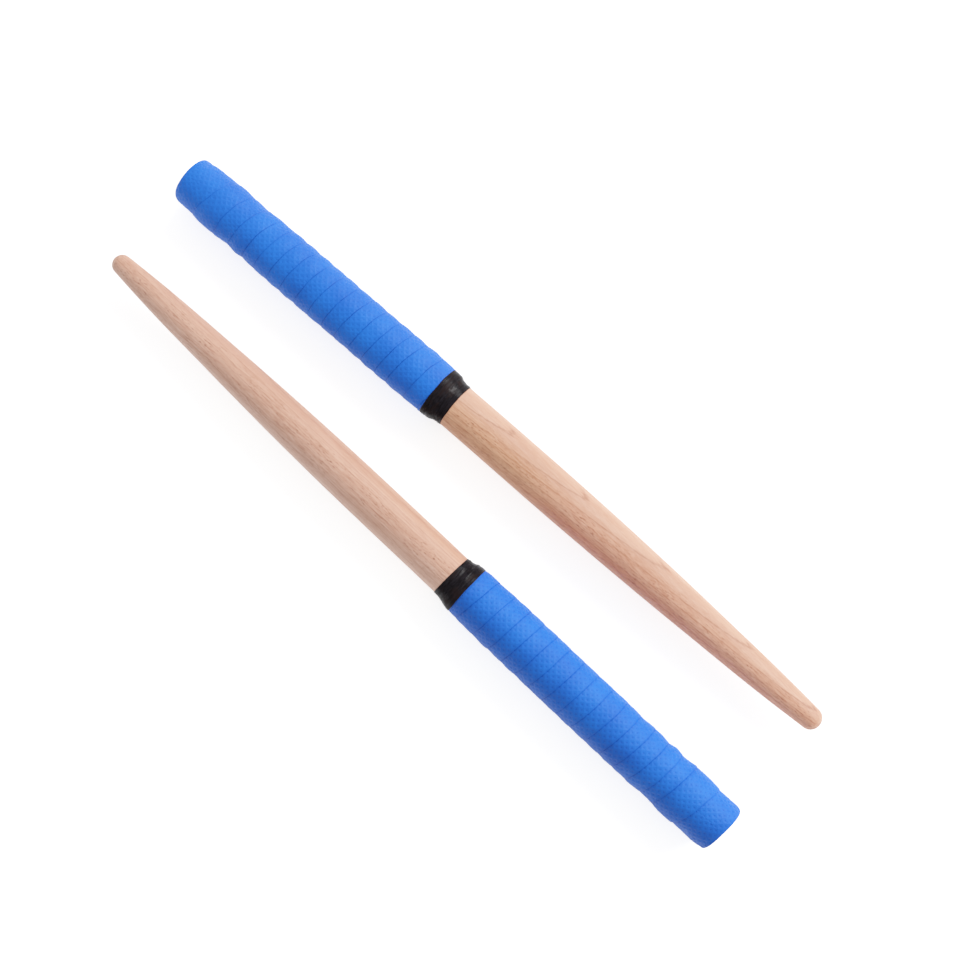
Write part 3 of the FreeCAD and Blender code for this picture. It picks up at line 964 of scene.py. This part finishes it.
GAIN_1, GAIN_2 = (0.447, 0.330, 0.290), (0.481, 0.347, 0.303)
woods = {
    "stick_1": beech(
        "beech_cathedral", light=rgb(240, 207, 184, GAIN_1), dark=rgb(224, 184, 158, GAIN_1),
        line=rgb(198, 148, 120, GAIN_1), fleck_colour=rgb(150, 96, 66, GAIN_1),
        pale=rgb(246, 222, 202, GAIN_1), angle=math.radians(48), bend=0.004, tilt=-0.058,
        sweep=((218.0, 0.018), (258.0, 0.027)), spacing=2.5, wander=1.3, start=0.19,
        late=0.50, seam=0.55, fade=(0.4, 2.2), fleck_y=4.2, side=-1.0,
        # tints: painted fill light on the shade half, near the grip, near the tip and on its
        # rim
        tints=((1.33, 1.35, 1.22), (1.34, 1.30, 1.32), (1.10, 0.90, 0.73))),
    "stick_2": beech(
        "beech_straight", light=rgb(238, 207, 186, GAIN_2), dark=rgb(224, 187, 163, GAIN_2),
        line=rgb(198, 153, 128, GAIN_2), fleck_colour=rgb(150, 102, 76, GAIN_2),
        pale=rgb(244, 222, 204, GAIN_2), angle=math.radians(-78), bend=0.002, tilt=0.008,
        sweep=(), spacing=2.2, wander=1.6, start=0.4,
        late=0.35, seam=0.30, fade=(50.0, 60.0), fleck_y=-1.5, side=1.0,
        # tints: painted fill light on the shade half, near the grip, near the tip and on its
        # rim
        tints=((1.11, 1.27, 1.42), (1.11, 1.27, 1.42), (0.97, 0.98, 1.0))),
}
grips = {
    # bright and shade paint light and shade onto the lit and unlit halves of each grip
    "stick_1": overgrip("blue_overgrip_1", bright=(0.78, 0.89, 0.95),
                        shade=(1.10, 1.18, 1.14), hole_shade=0.16, soft_seam=0.06, seam=0.75),
    "stick_2": overgrip("blue_overgrip_2", bright=(0.97, 1.05, 1.12),
                        shade=(0.62, 0.82, 0.83), hole_shade=0.28, soft_seam=0.15, seam=0.34),
}
tapes = {
    "stick_1": vinyl("black_vinyl_1", glints=((5.7, 1.2),)),
    "stick_2": vinyl("black_vinyl_2", glints=((2.7, 0.9), (6.6, 0.6))),
}
tab_material = adhesive("adhesive_tab")

# maker, materials, replaced piece, slot
PIECES = (
    (make_shaft, woods, "shaft", "beech"),
    (make_overgrip, grips, "overgrip", "blue_overgrip"),
    (make_tape, tapes, "finishing_tape", "black_tape"),
)
for name, spec in STICKS.items():
    made = [make(name, spec) for make, _, _, _ in PIECES]
    for piece, (_, materials, replaced, slot) in zip(made, PIECES):
        piece.data.materials.append(materials[name])
        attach(piece, name)
        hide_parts(name + "_" + replaced)
    tab = frame["nodes"][name + "_starter_tab"]
    tab.data.materials.clear()
    tab.data.materials.append(tab_material)

# ---- floor, light, camera (metres) ---------------------------------------------------
KEY_POWER = 70.0         # W, a broad soft box on the +Y side
KEY_AT = (0.35, 1.50, 0.98)
KEY_SIZE = (1.5, 1.0)
SKY = (1.06, 1.62)       # strength, from the -Y horizon to the +Y horizon
WALL = 2.2               # strength of the backdrop as the camera sees it
WHITE = 2.1              # scene brightness that is shown as white
FLOOR_HALF = 3.0
FLOOR_POINTS = 24        # per side
CAMERA_AT = Vector((0.048304, 0.022382, 0.62506))
CAMERA_TARGET = Vector((0.004275, 0.012243, 0.0119))
CAMERA_ROLL = math.radians(42.343)

scene = bpy.context.scene


def make_floor():
    count = FLOOR_POINTS
    ticks = np.linspace(-FLOOR_HALF, FLOOR_HALF, count)
    points = [(float(x), float(y), 0.0) for y in ticks for x in ticks]
    corners = [j * count + i for j in range(count - 1) for i in range(count - 1)]
    faces = [(k, k + 1, k + count + 1, k + count) for k in corners]
    mesh = bpy.data.meshes.new("floor")
    mesh.from_pydata(points, [], faces)
    floor = bpy.data.objects.new("floor", mesh)
    scene.collection.objects.link(floor)
    shader = Shader("studio_floor")
    mottle = shader.noise(shader.object_position(), scale=3.0, detail=2.0)
    mesh.materials.append(shader.finish(
        Base_Color=shader.mix(mottle.remap((0.3, 0.7)),
                              (0.93, 0.93, 0.93, 1), (0.945, 0.945, 0.945, 1)),
        Roughness=0.9, Emission_Color=(1, 1, 1, 1), Emission_Strength=0.95,
        Specular_IOR_Level=0.1))
    floor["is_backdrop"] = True


def make_world():
    """White sky, stronger towards +Y, with a plain bright backdrop for the camera."""
    world = bpy.data.worlds.new("studio")
    scene.world = world
    world.use_nodes = True
    nodes, link = world.node_tree.nodes, world.node_tree.links.new
    background = nodes["Background"]
    direction = nodes.new("ShaderNodeTexCoord")
    split = nodes.new("ShaderNodeSeparateXYZ")
    strength = nodes.new("ShaderNodeMapRange")
    strength.interpolation_type = "SMOOTHSTEP"
    for i, value in enumerate((-0.9, 0.9) + SKY, start=1):
        strength.inputs[i].default_value = value
    ray = nodes.new("ShaderNodeLightPath")
    choice = nodes.new("ShaderNodeMix")
    choice.inputs[3].default_value = WALL
    background.inputs[0].default_value = (1.0, 1.0, 1.0, 1.0)
    link(direction.outputs["Generated"], split.inputs[0])
    link(split.outputs[1], strength.inputs[0])
    link(ray.outputs["Is Camera Ray"], choice.inputs[0])
    link(strength.outputs[0], choice.inputs[2])
    link(choice.outputs[0], background.inputs[1])
    world.cycles_visibility.glossy = False      # shiny tape mirrors the soft box only


def make_key():
    light = bpy.data.lights.new("key", "AREA")
    light.shape = "RECTANGLE"
    light.size, light.size_y = KEY_SIZE
    light.energy = KEY_POWER
    light.color = (1, 1, 1)
    key = bpy.data.objects.new("key", light)
    scene.collection.objects.link(key)
    key.location = KEY_AT
    key.rotation_euler = (-Vector(KEY_AT)).to_track_quat("-Z", "Y").to_euler()


def make_camera():
    lens = bpy.data.cameras.new("camera")
    lens.lens = 55.0
    lens.sensor_width = 36.0
    lens.clip_start = 0.01
    camera = bpy.data.objects.new("camera", lens)
    scene.collection.objects.link(camera)
    view = (CAMERA_TARGET - CAMERA_AT).normalized()
    top = Vector((-math.sin(CAMERA_ROLL), math.cos(CAMERA_ROLL), 0))
    right = view.cross(top).normalized()
    columns = (right, right.cross(view), -view, CAMERA_AT)
    camera.matrix_world = Matrix([[column[i] for column in columns] for i in range(3)]
                                 + [[0, 0, 0, 1]])
    scene.camera = camera


def set_exposure():
    """Soft shoulder: 1 - exp(-x), reaching white at WHITE."""
    view = scene.view_settings
    view.view_transform = "Standard"
    view.look = "None"
    view.exposure = 0.0
    view.gamma = 1.0
    view.use_curve_mapping = True
    mapping = view.curve_mapping
    mapping.white_level = (WHITE, WHITE, WHITE)
    for x in (0.04, 0.1, 0.18, 0.28, 0.4, 0.55, 0.72, 0.88):
        mapping.curves[3].points.new(x, (1 - math.exp(-WHITE * x)) / (1 - math.exp(-WHITE)))
    mapping.update()


make_floor()
make_world()
make_key()
make_camera()
set_exposure()

plain = lambda box: [[float(v) for v in corner] for corner in box]
{"cad": plain(cad_box), "visual": plain(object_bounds())}
